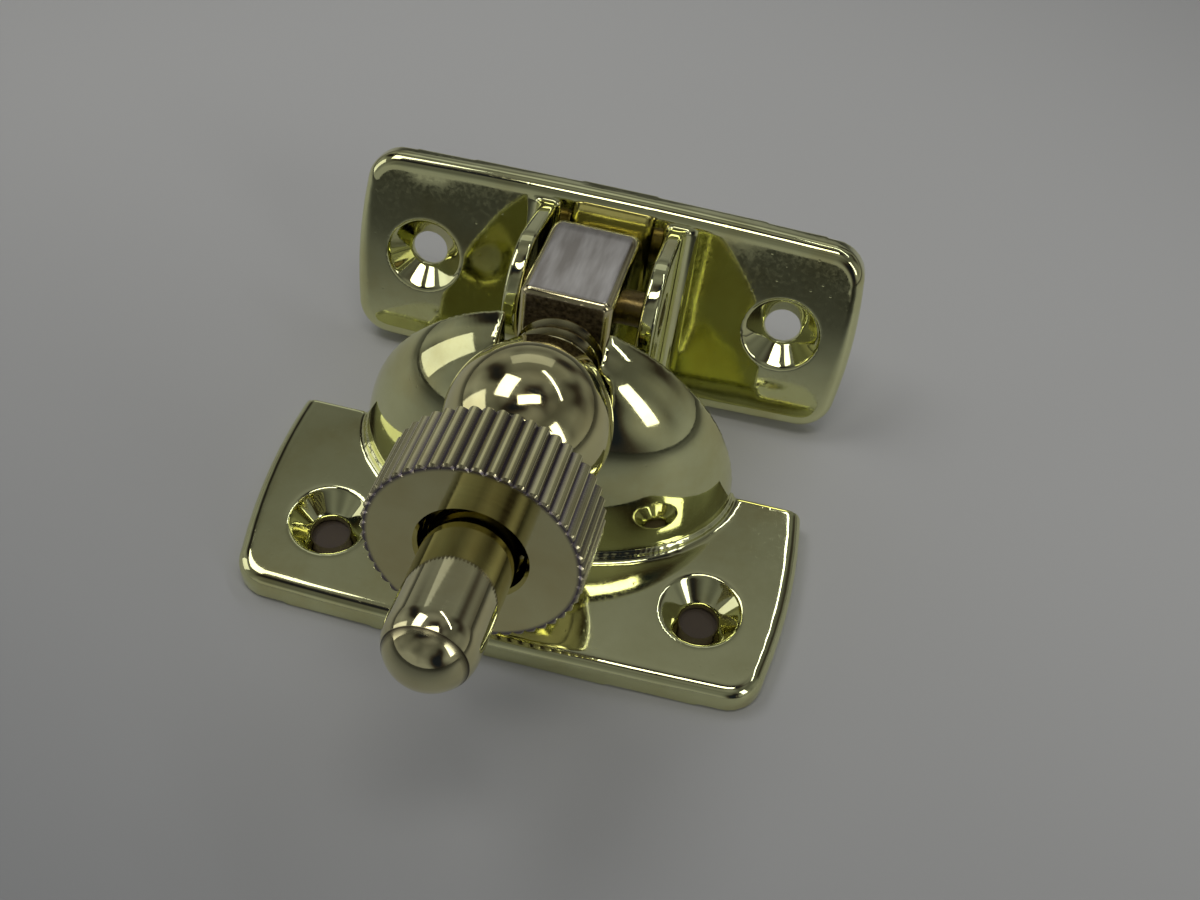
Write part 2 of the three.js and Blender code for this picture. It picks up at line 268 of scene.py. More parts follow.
def dome_solid(name, grow, low, high):
    """The part of the dome's ellipsoid between two heights, in front of the back edge."""
    bm = bmesh.new()
    bmesh.ops.create_uvsphere(bm, u_segments=160, v_segments=96, radius=1)
    size = (dome_x + grow, dome_y + grow, dome_z + grow)
    bmesh.ops.scale(bm, verts=bm.verts, vec=size)
    bmesh.ops.translate(bm, verts=bm.verts, vec=(0, back_y, plate_t))
    for spot, away in (((0, back_y, 0), (0, 1, 0)), ((0, 0, low), (0, 0, -1)),
                       ((0, 0, high), (0, 0, 1))):
        everything = bm.verts[:] + bm.edges[:] + bm.faces[:]
        bmesh.ops.bisect_plane(bm, geom=everything, plane_co=spot, plane_no=away,
                               clear_outer=True)
        bmesh.ops.holes_fill(bm, edges=[e for e in bm.edges if e.is_boundary])
    bmesh.ops.recalc_face_normals(bm, faces=bm.faces)
    return placed(name, bm)


combine(keeper, dome_solid("dome_foot", bead_out, inside_plate, plate_t + bead_top), "UNION")
combine(keeper, dome_solid("dome", 0, inside_plate, well_above), "UNION")

# %% [markdown]
# ### The slot
# The slot is open at the top and ends in a half circle, so the round stem beds in it. It is one
# flat outline pushed through the dome from front to back.

# %% the slot
slot_half = 5.55
slot_centre_z = 14.5
slot_shape = ([(slot_half, well_above), (-slot_half, well_above)]
              + arc((0, slot_centre_z), slot_half, 180, 360, 40))
slot_cut = slab(slot_shape, -back_y - 5, 30)
bmesh.ops.rotate(slot_cut, verts=slot_cut.verts, cent=(0, 0, 0),
                 matrix=Matrix.Rotation(math.radians(90), 3, "X"))
combine(keeper, placed("slot_cut", slot_cut), "DIFFERENCE")

# %% [markdown]
# ### The seat
# The ball's seat is the nut's own outline, a little larger. The arm also has to swing up and
# lift away with the nut on it, so the same outline is swung about the hinge pin and drawn
# straight up, and all three are cut from the dome.

# %% the ball's outline
nose_s, nose_r = 15.9, 6.3
cone_length = 3.7
ball_r, ball_s = 8.7, 22.7
neck_r = 6.1


def ball_at(s):
    """The ball's radius at a distance along the stem."""
    return math.sqrt(max(0.0, ball_r ** 2 - (s - ball_s) ** 2))


def nut_nose(grow=0.0, count=40):
    """(radius, distance) from the nut's nose, over the ball, to where the neck begins."""
    start = nose_s + cone_length
    end = ball_s + math.sqrt(ball_r ** 2 - neck_r ** 2)
    points = [(nose_r + grow, nose_s - grow)]
    for i in range(count + 1):
        s = start + (end - start) * i / count
        points.append((ball_at(s) + grow, s))
    return points


# %% the seat
seat_room = 0.28
room = nut_nose(seat_room)
seat = spun([(0, room[0][1])] + room + [(0, room[-1][1])], 128)
combine(keeper, placed("seat", seat, arm_place), "DIFFERENCE")

sideways = joints["nut_travel"]["axis"][0]
arm_x, arm_y, arm_z = [v / mm for v in pin_centre]
tilt = math.atan2(joints["nut_travel"]["axis"][2], -joints["nut_travel"]["axis"][1])
swing = bmesh.new()
swing_angle = 80
right_side = [(arm_x + sideways * s + r, s) for r, s in room]
left_side = [(arm_x + sideways * s - r, s) for r, s in reversed(room)]
flat = [(x, arm_y - s * math.cos(tilt), arm_z + s * math.sin(tilt))
        for x, s in right_side + left_side]
face = swing.faces.new([swing.verts.new(point) for point in flat])
bmesh.ops.spin(swing, geom=[face] + face.edges[:] + face.verts[:], cent=(0, arm_y, arm_z),
               axis=(-1, 0, 0), dvec=(0, 0, 0), angle=math.radians(swing_angle), steps=48,
               use_merge=False, use_duplicate=False)
bmesh.ops.holes_fill(swing, edges=[e for e in swing.edges if e.is_boundary])
bmesh.ops.recalc_face_normals(swing, faces=swing.faces)
combine(keeper, placed("swing_room", swing), "DIFFERENCE")

lift = slab([(x, y) for x, y, z in flat], 0, 40)
for vert in lift.verts:
    if vert.co.z < 1:
        vert.co.z = arm_z + (arm_y - vert.co.y) * math.tan(tilt)
combine(keeper, placed("lift_room", lift), "DIFFERENCE")

# %% [markdown]
# ### Holes and buffing
# The holes are countersunk for a no. 8 woodscrew. They are cut last, so that nothing fills them
# again, and then the whole casting is buffed.

# %% keeper screw holes, and the buffing
combine(keeper, screw_hole("hole_left", -screw_x, screw_y), "DIFFERENCE")
combine(keeper, screw_hole("hole_right", screw_x, screw_y), "DIFFERENCE")
buffed(keeper, 0.27, 5)


# %% [markdown]
# ## The bracket
# The bracket is a second casting: a small bowed plate with two ears. The ears are thin slabs
# with a round end about the pin, and a fillet where they spring from the plate, because a
# casting never has a sharp inside corner.

# %% bracket plate
plate_x, plate_y = 29.8, 11.84
bow = 0.5
corner = 4.2
bx, by = plate_x - corner, plate_y - corner
corners = [arc((bx, -by), corner, -88, -2, 12), arc((bx, by), corner, 2, 88, 12),
           arc((-bx, by), corner, 92, 178, 12), arc((-bx, -by), corner, 182, 268, 12)]
bracket_plan = []
for here, after in zip(corners, corners[1:] + corners[:1]):
    bracket_plan += here + bowed(here[-1], after[0], bow)
bracket = rolled_plate("bracket_casting", bracket_plan, edge_roll)

# %% ears
ear_gap, ear_t, ear_r = 13.2, 1.9, 6.6
ear_foot = -8.0
pin_out, pin_up = pin_local.z / mm, pin_local.y / mm
ear_slope = math.degrees(math.atan2(pin_up - ear_r - ear_foot, pin_out))
ear_shape = ([(1, pin_up + ear_r), (1, ear_foot)]
             + arc((pin_out, pin_up), ear_r, ear_slope - 90, 90, 40))
for side in (-1, 1):
    middle = side * (ear_gap + ear_t) / 2
    ear = slab(ear_shape, -ear_t / 2, ear_t / 2)
    rim = [e for e in ear.edges if abs(e.verts[0].co.z - e.verts[1].co.z) < 0.01]
    bmesh.ops.bevel(ear, geom=rim, offset=0.3, segments=3, profile=0.5, material=-1,
                    affect="EDGES", offset_type="OFFSET")
    bmesh.ops.rotate(ear, verts=ear.verts, cent=(0, 0, 0),
                     matrix=Matrix.Rotation(math.radians(-90), 3, "Y"))
    bmesh.ops.translate(ear, verts=ear.verts, vec=(middle, 0, 0))
    combine(bracket, placed("ear", ear), "UNION")
    outer = side * (ear_gap / 2 + ear_t)
    hollow = arc((abs(outer) + 1.5, plate_t + 1.5), 1.5, 270, 180, 10)
    fillet_plan = [(side * x, z) for x, z in hollow] + [(outer - side, plate_t - 1),
                                                       (outer + side * 1.5, plate_t - 1)]
    fillet = slab(fillet_plan, -pin_up - ear_r, -ear_foot)
    bmesh.ops.rotate(fillet, verts=fillet.verts, cent=(0, 0, 0),
                     matrix=Matrix.Rotation(math.radians(90), 3, "X"))
    combine(bracket, placed("fillet", fillet), "UNION")

# %% bracket holes, and its place
bracket_screw_x = 21.8
combine(bracket, screw_hole("hole_left", -bracket_screw_x, 0), "DIFFERENCE")
combine(bracket, screw_hole("hole_right", bracket_screw_x, 0), "DIFFERENCE")
pin_r = 2.0
bore_room = 0.15
bore = rod(pin_r + bore_room, -20, 20)
bmesh.ops.rotate(bore, verts=bore.verts, cent=(0, 0, 0),
                 matrix=Matrix.Rotation(math.radians(90), 3, "Y"))
bmesh.ops.translate(bore, verts=bore.verts, vec=(0, pin_up, pin_out))
combine(bracket, placed("pin_bore", bore), "DIFFERENCE")
buffed(bracket, 0.22, 4)
bracket.data.transform(bracket_place)

# %% [markdown]
# ## The hinge pin
# The pin is a short bar riveted flush in the ears. Its two ends and a little of its shank,
# between the block and the ears, can be seen. Each end has the low crown that a riveting
# hammer leaves. The block is not bored for it here: the pin simply runs through it.

# %% pin
reach = ear_gap / 2 + ear_t
crown = [(0, -reach - 0.12), (1.1, -reach - 0.08), (1.8, -reach + 0.05), (pin_r, -reach + 0.3)]
pin_outline = crown + [(radius, -height) for radius, height in reversed(crown)]
pin_bm = spun(pin_outline, 64)
bmesh.ops.rotate(pin_bm, verts=pin_bm.verts, cent=(0, 0, 0),
                 matrix=Matrix.Rotation(math.radians(90), 3, "Y"))
bmesh.ops.translate(pin_bm, verts=pin_bm.verts, vec=(0, pin_up, pin_out))
pin = placed("rivet_pin", pin_bm, bracket_place)
smooth(pin)

# %% [markdown]
# ## The swivel block
# The block is a drilled bar with a round back end. Its top and long edges were rolled over on
# the polishing mop, while its front face was left as sawn. One outline extruded sideways gives
# the shape, and a bevel with several segments gives the rolled edges.

# %% block
block_h, block_half, block_front, block_roll = 7.3, 5.05, 10.4, 1.2
block_back, back_r, nose_round = 1.5, 5.8, 0.9
rear = arc((-block_back, block_h - back_r), back_r, 90, 180, 20)
rear += [(-block_h, 0)] + arc((0, 0), block_h, 185, 270, 20)
round_s, round_h = block_front - nose_round, block_h - nose_round
low_corner = arc((round_s, -round_h), nose_round, 270, 360, 6)
high_corner = arc((round_s, round_h), nose_round, 0, 90, 6)
block_bm = slab(rear + low_corner + high_corner, -block_half, block_half)
sides = [e for e in block_bm.edges if abs(e.verts[0].co.z - e.verts[1].co.z) < 0.01]
bmesh.ops.bevel(block_bm, geom=sides, offset=block_roll, segments=6, profile=0.5,
                material=-1, affect="EDGES", offset_type="OFFSET")
bmesh.ops.rotate(block_bm, verts=block_bm.verts, cent=(0, 0, 0),
                 matrix=Matrix.Rotation(math.radians(-90), 3, "Y"))
block = placed("arm_block", block_bm, arm_place)
smooth(block, 40)

# %% [markdown]
# ## The screwed stem
# The stem is a plain bar with a round end, and a thread cut along the part the nut runs on. A
# thread is a saw-tooth outline spun once round while it climbs by one pitch: each tooth then
# ends where the next one began, so the turns weld into one true helix.

# %% thread and stem
pitch = 1.5875
thread_r, root_r, stem_r = 4.75, 4.0, 4.5
thread_start, thread_end, stem_end = 9.6, 40.6, 57.2
around = 96


def tooth(base):
    """One pitch of the thread's outline, from root to root."""
    shape = ((0.00, root_r), (0.10, root_r), (0.44, thread_r), (0.56, thread_r), (0.90, root_r))
    return [(radius, base + part * pitch) for part, radius in shape]


thread_line = []
for turn in range(int((thread_end - thread_start) / pitch)):
    thread_line += tooth(thread_start + turn * pitch)
thread_line.append((root_r, thread_line[-1][1] + 0.1 * pitch))
stem_bm = bmesh.new()
line = [stem_bm.verts.new((radius, 0, height)) for radius, height in thread_line]
strokes = [stem_bm.edges.new(pair) for pair in zip(line, line[1:])]
bmesh.ops.spin(stem_bm, geom=line + strokes, cent=(0, 0, 0), axis=(0, 0, 1),
               dvec=(0, 0, pitch / around), angle=2 * math.pi, steps=around,
               use_merge=False, use_duplicate=False)
bmesh.ops.remove_doubles(stem_bm, verts=stem_bm.verts, dist=0.01)
bmesh.ops.holes_fill(stem_bm, edges=[e for e in stem_bm.edges if e.is_boundary])
bmesh.ops.recalc_face_normals(stem_bm, faces=stem_bm.faces)
print("thread", len(stem_bm.faces), "faces")

bar_start = thread_line[-1][1] - 0.6
tip = arc((0, stem_end - stem_r), stem_r, 0, 90, 18)
tip[-1] = (0, stem_end)
bar = spun([(0, bar_start), (root_r - 0.1, bar_start), (stem_r, bar_start + 1.0)] + tip, around)
stem = placed("screwed_stem", stem_bm, arm_place)
bar_piece = placed("plain_end", bar, arm_place)
for piece in (stem, bar_piece):
    smooth(piece, 30)

# %% [markdown]
# ## The thumb nut
# The nut is one turned piece: a flat nose, a cone, the ball, a waisted neck and the reeded
# wheel. Spinning its outline makes it, and then the wheel's rim is pushed in between the reeds.

# %% nut
reeds, reed_depth = 48, 0.5
wheel_start, wheel_end, rim_r = 33.3, 41.8, 10.85
hole_r, nut_bore = 5.3, 5.0
neck_end = ball_s + math.sqrt(ball_r ** 2 - neck_r ** 2)
neck_low = neck_r - 0.35
outline = [(nut_bore, nose_s + 0.4), (nut_bore + 0.35, nose_s)] + nut_nose(0, 36)
outline += [(neck_low, neck_end + 0.9), (neck_low, wheel_start - 1.4),
            (neck_low + 0.3, wheel_start - 0.6), (neck_low + 1.1, wheel_start)]
outline += [(9.0, wheel_start), (rim_r - 0.2, wheel_start), (rim_r, wheel_start + 0.2)]
for step in range(1, 5):
    outline.append((rim_r, wheel_start + 0.2 + (wheel_end - wheel_start - 0.4) * step / 5))
outline += [(rim_r, wheel_end - 0.2), (rim_r - 0.2, wheel_end), (9.9, wheel_end),
            (hole_r + 0.35, wheel_end), (hole_r, wheel_end - 0.35), (hole_r, wheel_end - 5),
            (nut_bore, wheel_end - 5.4), (nut_bore, nose_s + 0.4)]
nut_bm = spun(outline, reeds * 8)
for vert in nut_bm.verts:
    radius = vert.co.xy.length
    if radius > 10.3:
        turn = math.atan2(vert.co.y, vert.co.x)
        pinch = reed_depth * (1 - abs(math.cos(turn * reeds / 2)))
        vert.co.xy *= (radius - pinch) / radius
nut = placed("thumb_nut", nut_bm, arm_place)
smooth(nut, 28)
print("nut", len(nut.data.polygons), "faces")


# %% [markdown]
# ## Riding and replacing
# Each new piece moves with the body whose solid it stands for. The nut is one turned piece that
# stands for two solids, because the frame gives its ball the travel along the stem and its wheel
# the spin; the whole nut rides on the wheel, which has both.

# %% rides
for piece, body, slot, nodes in (
        (keeper, "keeper", "plate_brass", ["keeper"]),
        (bracket, "bracket", "plate_brass", ["pivot_bracket"]),
        (pin, "bracket", "pin_brass", ["pivot_pin"]),
        (block, "arm", "block_brass", ["swivel_block"]),
        (stem, "arm", "stem_brass", ["threaded_stem"]),
        (bar_piece, "arm", "stem_brass", ["threaded_stem"]),
        (nut, "nut_wheel", "nut_brass", ["ball_end", "thumb_wheel"])):
    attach(piece, body)
    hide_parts(*nodes)
    print(piece.name, "rides on", body)


# %% [markdown]
# ## Finishes
# Everything is one alloy, a yellow brass of copper and zinc, so the pieces differ only in how
# their surfaces were made. A metal keeps its colour in its base colour and its metallic at 1;
# the finish is in the roughness and the bump. Every pattern is measured in millimetres from the
# piece's own coordinates, and for turned pieces those are first turned to the arm's axis.

# %% colour and node helpers
def linear(code):
    """A linear colour from an sRGB hex code."""
    values = [int(code[i:i + 2], 16) / 255 for i in (0, 2, 4)]
    return [v / 12.92 if v <= 0.04045 else ((v + 0.055) / 1.055) ** 2.4 for v in values] + [1]


def add(tree, kind, settings=None, inputs=None, stops=None):
    """Adds a node: its properties, its inputs as values or sockets, its (position, hex) stops."""
    made = tree.nodes.new(kind)
    for name, value in (settings or {}).items():
        setattr(made, name, value)
    for name, value in (inputs or {}).items():
        if isinstance(value, bpy.types.NodeSocket):
            tree.links.new(value, made.inputs[name])
        else:
            made.inputs[name].default_value = value
    if stops:
        colours = made.color_ramp.elements
        colours[0].position = stops[0][0]
        colours[0].color = linear(stops[0][1])
        colours[1].position = stops[-1][0]
        colours[1].color = linear(stops[-1][1])
        for position, code in stops[1:-1]:
            colours.new(position).color = linear(code)
    return made


def material(name):
    """A new material with its node tree, shader and a coordinate node."""
    made = bpy.data.materials.new(name)
    made.use_nodes = True
    tree = made.node_tree
    shader = tree.nodes["Principled BSDF"]
    where = add(tree, "ShaderNodeTexCoord")
    return made, tree, shader, where


per_mm = 1 / mm
to_arm = arm_place.inverted()

# %% [markdown]
# ### Buffed cast brass
# The plates were cast in sand, then buffed on a loose mop. Buffing gives a mirror that is never
# quite flat: it keeps a slow swell about 7 mm across, which bends every reflection, a few shallow
# pits, and a haze of fine scratches, drawn 0.5 mm apart so that it shows. The colour also drifts
# a little over about 9 mm, where the brass has begun to tan.

# %% buffed cast brass
cast_brass, tree, shader, where = material("buffed_cast_brass")
swell = add(tree, "ShaderNodeTexNoise", inputs={
    "Vector": where.outputs["Object"], "Scale": per_mm / 7.0, "Detail": 0.5, "Roughness": 0.4})
tan = add(tree, "ShaderNodeTexNoise", inputs={
    "Vector": where.outputs["Object"], "Scale": per_mm / 9.0, "Detail": 5.0, "Roughness": 0.6})
haze = add(tree, "ShaderNodeTexNoise", inputs={
    "Vector": where.outputs["Object"], "Scale": per_mm / 0.5, "Detail": 3.0, "Roughness": 0.6})
pit = add(tree, "ShaderNodeTexVoronoi", {"feature": "F1"}, {
    "Vector": where.outputs["Object"], "Scale": per_mm / 1.6})
pit_mask = add(tree, "ShaderNodeMapRange", {"clamp": True}, {
    "Value": pit.outputs["Distance"], "From Min": 0.05, "From Max": 0.11})
brass_tone = add(tree, "ShaderNodeValToRGB", None, {"Fac": tan.outputs["Fac"]}, [
    (0.30, "D4D096"), (0.5, "DEDFAA"), (0.70, "E6E8B4")])
tree.links.new(brass_tone.outputs["Color"], shader.inputs["Base Color"])
shine = add(tree, "ShaderNodeMapRange", {"clamp": True}, {
    "Value": haze.outputs["Fac"], "From Min": 0.35, "From Max": 0.75,
    "To Min": 0.03, "To Max": 0.10})
tree.links.new(shine.outputs["Result"], shader.inputs["Roughness"])
shader.inputs["Metallic"].default_value = 1.0
slow_bump = add(tree, "ShaderNodeBump", inputs={
    "Height": swell.outputs["Fac"], "Strength": 0.5, "Distance": 0.12 * mm})
pit_bump = add(tree, "ShaderNodeBump", inputs={
    "Height": pit_mask.outputs["Result"], "Strength": 0.15, "Distance": 0.02 * mm,
    "Normal": slow_bump.outputs["Normal"]})
fine_bump = add(tree, "ShaderNodeBump", inputs={
    "Height": haze.outputs["Fac"], "Strength": 0.05, "Distance": 0.01 * mm,
    "Normal": pit_bump.outputs["Normal"]})
tree.links.new(fine_bump.outputs["Normal"], shader.inputs["Normal"])

# %% [markdown]
# ### Turned brass
# The nut, the stem and the pin came off a lathe. The tool leaves rings about the axis, which
# stretch every highlight across them. A ring pattern is a noise that reads only the distance
# from the axis and the distance along it, with its rings drawn 0.35 mm apart so that they show.
# Between the reeds and down in the thread the colour darkens with depth below the crests, as
# painted shade. The pin is dark brown all over: painted shade for the gap it shows through.

# %% turned brass
def turned_brass(name, tone, valley_shade, crest, root, rough=(0.04, 0.11)):
    """Lathe-turned brass about the arm's axis; painted shade fills it in from crest to root."""
    made, tree, shader, where = material(name)
    local = add(tree, "ShaderNodeMapping", {"vector_type": "POINT"}, {
        "Vector": where.outputs["Object"], "Location": to_arm.translation,
        "Rotation": to_arm.to_euler("XYZ")})
    part = add(tree, "ShaderNodeSeparateXYZ", inputs={"Vector": local.outputs["Vector"]})
    across = add(tree, "ShaderNodeCombineXYZ", inputs={
        "X": part.outputs["X"], "Y": part.outputs["Y"]})
    radius = add(tree, "ShaderNodeVectorMath", {"operation": "LENGTH"}, {
        "Vector": across.outputs["Vector"]})
    rings_at = add(tree, "ShaderNodeCombineXYZ", inputs={
        "X": radius.outputs["Value"], "Y": part.outputs["Z"]})
    rings = add(tree, "ShaderNodeTexNoise", inputs={
        "Vector": rings_at.outputs["Vector"], "Scale": per_mm / 0.35, "Detail": 3.0})
    drift = add(tree, "ShaderNodeTexNoise", inputs={
        "Vector": where.outputs["Object"], "Scale": per_mm / 4.0, "Detail": 4.0})
    span = add(tree, "ShaderNodeMapRange", {"clamp": True}, {
        "Value": radius.outputs["Value"], "From Min": (root - 0.4) * mm, "From Max": crest * mm})
    # painted shade: darkest at the root of each valley, none at the crest
    depth = add(tree, "ShaderNodeValToRGB", None, {"Fac": span.outputs["Result"]}, [
        (0.0, "000000"), (0.4 / (crest - root + 0.4), "FFFFFF"), (1.0, "000000")])
    metal = add(tree, "ShaderNodeValToRGB", None, {"Fac": drift.outputs["Fac"]}, [
        (0.3, tone[0]), (0.7, tone[1])])
    mixed = add(tree, "ShaderNodeMix", {"data_type": "RGBA"}, {
        0: depth.outputs["Color"], 6: metal.outputs["Color"], 7: linear(valley_shade)})
    tree.links.new(mixed.outputs[2], shader.inputs["Base Color"])
    shine = add(tree, "ShaderNodeMapRange", {"clamp": True}, {
        "Value": rings.outputs["Fac"], "From Min": 0.3, "From Max": 0.7,
        "To Min": rough[0], "To Max": rough[1]})
    dull = add(tree, "ShaderNodeMath", {"operation": "MULTIPLY_ADD", "use_clamp": True}, {
        0: depth.outputs["Color"], 1: 0.3, 2: shine.outputs["Result"]})
    tree.links.new(dull.outputs["Value"], shader.inputs["Roughness"])
    shader.inputs["Metallic"].default_value = 1.0
    ring_bump = add(tree, "ShaderNodeBump", inputs={
        "Height": rings.outputs["Fac"], "Strength": 0.12, "Distance": 0.01 * mm})
    drift_bump = add(tree, "ShaderNodeBump", inputs={
        "Height": drift.outputs["Fac"], "Strength": 0.25, "Distance": 0.04 * mm,
        "Normal": ring_bump.outputs["Normal"]})
    tree.links.new(drift_bump.outputs["Normal"], shader.inputs["Normal"])
    return made


# the third colour in each call is the painted shade for the valleys and thread roots
nut_brass = turned_brass("turned_nut_brass", ("D8CF98", "E2DDA8"), "6A6270", 10.85, 10.4)
thread_brass = turned_brass("cut_thread_brass", ("D0C896", "DCD5A4"), "30281E", 4.75, 4.05)
stem_brass = turned_brass("turned_stem_brass", ("D4CC9C", "E2DEB0"), "30281E", 4.05, 4.0)
# painted shade: the pin is dark brown all over, so the gap it shows through reads dark
pin_brass = turned_brass("pin_brass_painted_shade", ("6B5C3A", "8C7C50"), "6B5C3A", 1.0, 0.5, (0.25, 0.4))

# %% [markdown]
# ### Filed brass
# The block was filed rather than turned. Its top and sides were drawn along the arm over a fine
# file, which leaves short grooves along it and a satin top. The top face is also painted a paler,
# greyer sheen, streaked along the arm. Its rolled edges met the mop and shine, and its front face,
# round the stem, was left as sawn and pitted, and is painted dark brown as painted shade. The
# piece's own normal says which face a point is on, so it picks the finish and the painted light.

# %% filed brass
filed_brass, tree, shader, where = material("filed_block_brass")
local = add(tree, "ShaderNodeMapping", {"vector_type": "POINT"}, {
    "Vector": where.outputs["Object"], "Location": to_arm.translation,
    "Rotation": to_arm.to_euler("XYZ")})
grooves_at = add(tree, "ShaderNodeVectorMath", {"operation": "MULTIPLY"}, {
    0: local.outputs["Vector"], 1: (per_mm / 0.12, per_mm / 0.12, per_mm / 3.0)})
grooves = add(tree, "ShaderNodeTexNoise", inputs={
    "Vector": grooves_at.outputs["Vector"], "Scale": 1.0, "Detail": 4.0})
sawn = add(tree, "ShaderNodeTexNoise", inputs={
    "Vector": where.outputs["Object"], "Scale": per_mm / 0.45, "Detail": 5.0})
facing = add(tree, "ShaderNodeMapping", {"vector_type": "VECTOR"}, {
    "Vector": where.outputs["Normal"], "Rotation": to_arm.to_euler("XYZ")})
side = add(tree, "ShaderNodeSeparateXYZ", inputs={"Vector": facing.outputs["Vector"]})
top_side = add(tree, "ShaderNodeMapRange", {"clamp": True}, {
    "Value": side.outputs["Y"], "From Min": 0.90, "From Max": 0.97})
front_side = add(tree, "ShaderNodeMapRange", {"clamp": True}, {
    "Value": side.outputs["Z"], "From Min": 0.90, "From Max": 0.97})
body_tone = add(tree, "ShaderNodeValToRGB", None, {"Fac": sawn.outputs["Fac"]}, [
    (0.3, "D2C698"), (0.7, "DDD4A8")])
drag_at = add(tree, "ShaderNodeVectorMath", {"operation": "MULTIPLY"}, {
    0: local.outputs["Vector"], 1: (per_mm / 1.6, per_mm / 1.6, per_mm / 9.0)})
drag_sheen_streaks = add(tree, "ShaderNodeTexNoise", inputs={
    "Vector": drag_at.outputs["Vector"], "Scale": 1.0, "Detail": 3.0})
# painted sheen: the top face is paler and greyer, in streaks along the arm
top_painted_sheen = add(tree, "ShaderNodeValToRGB", None, {"Fac": drag_sheen_streaks.outputs["Fac"]}, [
    (0.35, "AAA49C"), (0.65, "DAD6D0")])
top_mix = add(tree, "ShaderNodeMix", {"data_type": "RGBA"}, {
    0: top_side.outputs["Result"], 6: body_tone.outputs["Color"], 7: top_painted_sheen.outputs["Color"]})
# painted shade: the front face is dark brown, mottled by the sawn noise
front_painted_shade = add(tree, "ShaderNodeValToRGB", None, {"Fac": sawn.outputs["Fac"]}, [
    (0.35, "4A4136"), (0.7, "8A7C66")])
front_mix = add(tree, "ShaderNodeMix", {"data_type": "RGBA"}, {
    0: front_side.outputs["Result"], 6: top_mix.outputs[2], 7: front_painted_shade.outputs["Color"]})
tree.links.new(front_mix.outputs[2], shader.inputs["Base Color"])
satin = add(tree, "ShaderNodeMapRange", {"clamp": True}, {
    "Value": top_side.outputs["Result"], "To Min": 0.12, "To Max": 0.3})
rough = add(tree, "ShaderNodeMath", {"operation": "MULTIPLY_ADD", "use_clamp": True}, {
    0: front_side.outputs["Result"], 1: 0.35, 2: satin.outputs["Result"]})
tree.links.new(rough.outputs["Value"], shader.inputs["Roughness"])
shader.inputs["Metallic"].default_value = 1.0
file_bump = add(tree, "ShaderNodeBump", inputs={
    "Height": grooves.outputs["Fac"], "Strength": 0.25, "Distance": 0.02 * mm})
sawn_height = add(tree, "ShaderNodeMath", {"operation": "MULTIPLY"}, {
    0: sawn.outputs["Fac"], 1: front_side.outputs["Result"]})
sawn_bump = add(tree, "ShaderNodeBump", inputs={
    "Height": sawn_height.outputs["Value"], "Strength": 0.8, "Distance": 0.15 * mm,
    "Normal": file_bump.outputs["Normal"]})
tree.links.new(sawn_bump.outputs["Normal"], shader.inputs["Normal"])

for piece, finish in ((keeper, cast_brass), (bracket, cast_brass), (pin, pin_brass),
                      (block, filed_brass), (stem, thread_brass), (bar_piece, stem_brass),
                      (nut, nut_brass)):
    piece.data.materials.clear()
    piece.data.materials.append(finish)

# %% [markdown]
# ## The studio
# Polished metal shows the room more than itself. The table is pale and plain, with painted shade:
# it falls off into shade further out, as it does under one soft lamp, and darkens towards the
# front and left. Under the keeper a painted shadow makes it dark, so that the two screw holes look
# down into shadow. The room is a grey that changes with height, with a few darker patches for the
# brass to mirror, and soft lamps give the edges their highlights.

# %% the table
floor_bm = bmesh.new()
bmesh.ops.create_circle(floor_bm, cap_ends=True, radius=2.5, segments=96)
floor_mesh = bpy.data.meshes.new("table_top")
floor_bm.to_mesh(floor_mesh)
floor_bm.free()
floor = bpy.data.objects.new("table_top", floor_mesh)
floor.location.z = -0.05 * mm
bpy.context.scene.collection.objects.link(floor)
matt, tree, shader, where = material("pale_matt_laminate")
# painted shade: the table greys further than 90 mm from the middle
spread = add(tree, "ShaderNodeVectorMath", {"operation": "LENGTH"}, {
    "Vector": where.outputs["Object"]})
fall = add(tree, "ShaderNodeMapRange", {"clamp": True, "interpolation_type": "SMOOTHSTEP"}, {
    "Value": spread.outputs["Value"], "From Min": 0.09, "From Max": 0.30})
far_tone = add(tree, "ShaderNodeValToRGB", None, {"Fac": fall.outputs["Result"]}, [
    (0.0, "FFFFFF"), (1.0, "8C8C8E")])
# painted shade: the table is darker towards the front and left
slope = add(tree, "ShaderNodeVectorMath", {"operation": "DOT_PRODUCT"}, {
    0: where.outputs["Object"], 1: (0.25, 1.0, 0)})
lit = add(tree, "ShaderNodeMapRange", {"clamp": True, "interpolation_type": "SMOOTHSTEP"}, {
    "Value": slope.outputs["Value"], "From Min": -0.13, "From Max": 0.06})
table_tone = add(tree, "ShaderNodeValToRGB", None, {"Fac": lit.outputs["Result"]}, [
    (0.0, "808285"), (1.0, "CCCCCB")])
both = add(tree, "ShaderNodeMix", {"data_type": "RGBA", "blend_type": "MULTIPLY"}, {
    0: 1.0, 6: table_tone.outputs["Color"], 7: far_tone.outputs["Color"]})
# painted shadow: dark brown under the keeper, seen through the screw holes
under = add(tree, "ShaderNodeVectorMath", {"operation": "ABSOLUTE"}, {
    "Vector": where.outputs["Object"]})
under_part = add(tree, "ShaderNodeSeparateXYZ", inputs={"Vector": under.outputs["Vector"]})
under_x = add(tree, "ShaderNodeMath", {"operation": "LESS_THAN"}, {
    0: under_part.outputs["X"], 1: 28 * mm})
under_y = add(tree, "ShaderNodeMath", {"operation": "LESS_THAN"}, {
    0: under_part.outputs["Y"], 1: 11 * mm})
hidden = add(tree, "ShaderNodeMath", {"operation": "MULTIPLY"}, {
    0: under_x.outputs["Value"], 1: under_y.outputs["Value"]})
shade = add(tree, "ShaderNodeMix", {"data_type": "RGBA"}, {
    0: hidden.outputs["Value"], 6: both.outputs[2], 7: linear("4A3E34")})
tree.links.new(shade.outputs[2], shader.inputs["Base Color"])
shader.inputs["Roughness"].default_value = 0.6
floor.data.materials.append(matt)

